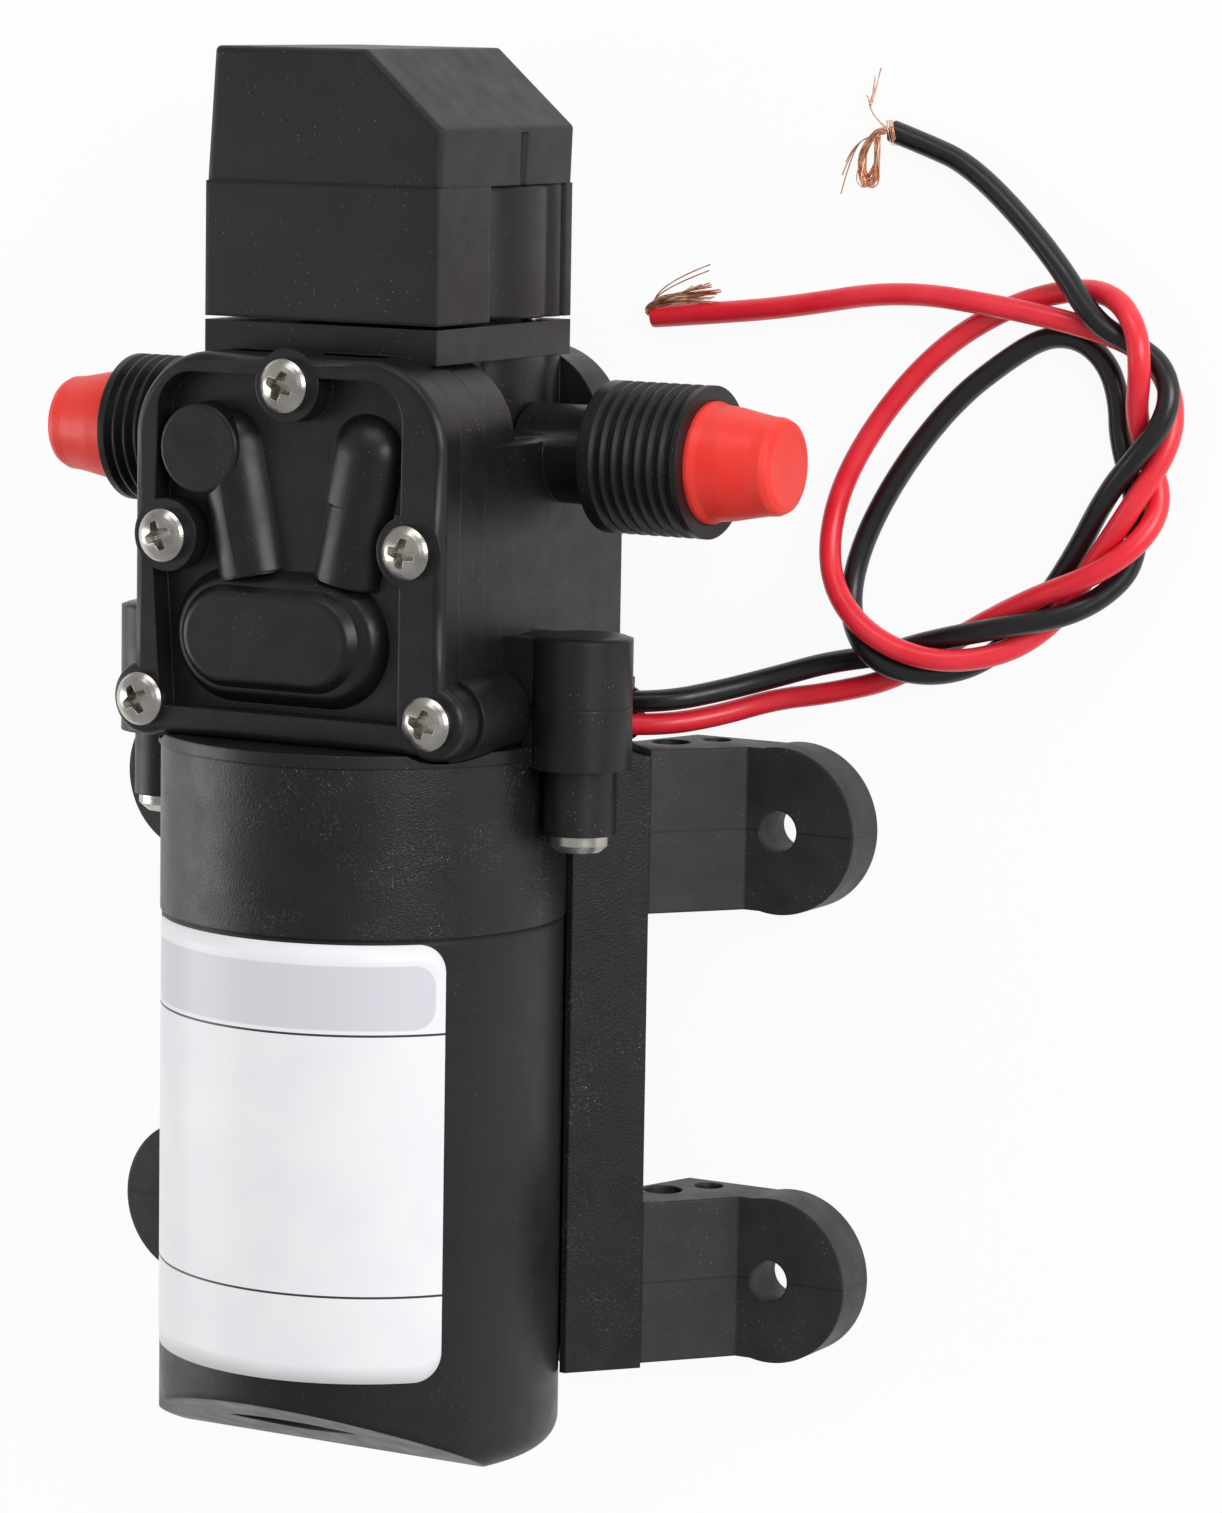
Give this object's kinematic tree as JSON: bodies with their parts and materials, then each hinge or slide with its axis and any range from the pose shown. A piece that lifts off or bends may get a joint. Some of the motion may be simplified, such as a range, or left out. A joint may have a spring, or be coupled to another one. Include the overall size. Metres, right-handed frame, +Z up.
{
  "type": "diaphragm water pump",
  "caption": "Twelve volt diaphragm pump with two threaded side ports, a pressure switch on its head, a round motor on a saddle with rubber feet, and two lead wires.",
  "frame": {"origin": "centre of the rectangle of foot holes, on the surface that the feet stand on", "axes": "+X along the ports to the pump's right, +Y along the motor axis towards the pressure switch, +Z up from the mounting surface"},
  "size_m": [0.167, 0.1938, 0.0671],
  "materials": {
    "black_plastic": "black glass-filled nylon, fine satin mould surface",
    "cover_plastic": "black nylon with a smooth satin mould surface",
    "shell_plastic": "smooth black plastic tube with a satin sheen",
    "textured_plastic": "black plastic with a fine spark-eroded grain",
    "foot_rubber": "moulded soft rubber, dusty satin",
    "black_rubber": "moulded rubber grommet",
    "red_plastic": "soft polyethylene, satin",
    "screw_steel": "nickel plated cross-head screw",
    "red_wire": "soft PVC insulation, glossy",
    "black_wire": "soft PVC insulation, glossy",
    "copper_strand": "bare stranded copper",
    "valve_rubber": "EPDM rubber",
    "white_plastic": "natural acetal",
    "aluminium": "die cast",
    "brass": "turned or stamped brass",
    "bearing_steel": "ground steel",
    "core_steel": "stacked sheet steel",
    "zinc_steel": "zinc plated drawn steel",
    "enamelled_copper": "enamelled copper wire and copper bars",
    "magnet": "sintered ferrite",
    "carbon": "pressed carbon"
  },
  "bodies": {
    "pump": {"base_bracket": "textured_plastic", "black_wire": "black_wire", "black_wire_strands": "copper_strand", "brush_springs": "bearing_steel", "brushes": "carbon", "cover_gasket": "valve_rubber", "cover_screws": "screw_steel", "diaphragm": "valve_rubber", "end_bell": "white_plastic", "foot_lower_left": "foot_rubber", "foot_lower_right": "foot_rubber", "foot_upper_left": "foot_rubber", "foot_upper_right": "foot_rubber", "front_bearing": "bearing_steel", "grommet": "black_rubber", "magnets": "magnet", "microswitch": "black_plastic", "microswitch_rests": "black_plastic", "motor_can": "zinc_steel", "motor_collar": "textured_plastic", "motor_housing": "black_plastic", "motor_shell": "shell_plastic", "plunger_spring": "bearing_steel", "pump_body": "black_plastic", "rear_bearing": "bearing_steel", "red_wire": "red_wire", "red_wire_strands": "copper_strand", "switch_cover": "cover_plastic", "switch_diaphragm": "valve_rubber", "switch_housing": "black_plastic", "switch_screws": "screw_steel", "switch_terminals": "brass", "tower_screws": "screw_steel", "upper_bearing": "bearing_steel", "valve_cover": "cover_plastic", "valve_plate": "white_plastic"},
    "rotor": {"rotor_shaft": "bearing_steel", "armature_core": "core_steel", "windings": "enamelled_copper", "commutator": "enamelled_copper", "eccentric": "brass", "rod_bearing_inner": "bearing_steel", "rod_bearing_balls": "bearing_steel"},
    "rod": {"connecting_rod": "aluminium", "rod_bearing_outer": "bearing_steel", "clamp_washer": "screw_steel", "clamp_screw": "screw_steel"},
    "inlet_disc": {"inlet_valve": "valve_rubber"},
    "outlet_disc": {"outlet_valve": "valve_rubber"},
    "plunger": {"switch_plunger": "white_plastic"},
    "button": {"microswitch_button": "white_plastic"},
    "left_plug": {"inlet_plug": "red_plastic"},
    "right_plug": {"outlet_plug": "red_plastic"}
  },
  "joints": [
    {"name": "motor_spin", "type": "hinge", "parent": "pump", "child": "rotor", "pos_m": [0, 0.06225, 0.0385], "axis": [0, 1, 0], "continuous": true, "deforming": ["diaphragm"]},
    {"name": "rod_swing", "type": "hinge", "parent": "rotor", "child": "rod", "pos_m": [0, 0.06225, 0.0373], "axis": [0, 1, 0], "continuous": true},
    {"name": "inlet_valve_lift", "type": "slide", "parent": "pump", "child": "inlet_disc", "axis": [0, 0, -1], "range_m": [0, 0.0005]},
    {"name": "outlet_valve_lift", "type": "slide", "parent": "pump", "child": "outlet_disc", "axis": [0, 0, 1], "range_m": [0, 0.0008]},
    {"name": "pressure_plunger", "type": "slide", "parent": "pump", "child": "plunger", "axis": [0, 1, 0], "range_m": [0, 0.0008], "stiffness_N_per_m": 2000, "springref_m": -0.001, "deforming": ["plunger_spring"]},
    {"name": "switch_button", "type": "slide", "parent": "pump", "child": "button", "axis": [0, 1, 0], "range_m": [0, 0.0008]},
    {"name": "left_plug_pull", "type": "slide", "parent": "pump", "child": "left_plug", "axis": [-1, 0, 0], "range_m": [0, 0.012]},
    {"name": "right_plug_pull", "type": "slide", "parent": "pump", "child": "right_plug", "axis": [1, 0, 0], "range_m": [0, 0.012]}
  ],
  "couplings": [
    {"joint": "rod_swing", "follows": "motor_spin", "ratio": -1},
    {"joint": "switch_button", "follows": "pressure_plunger", "ratio": 1}
  ]
}
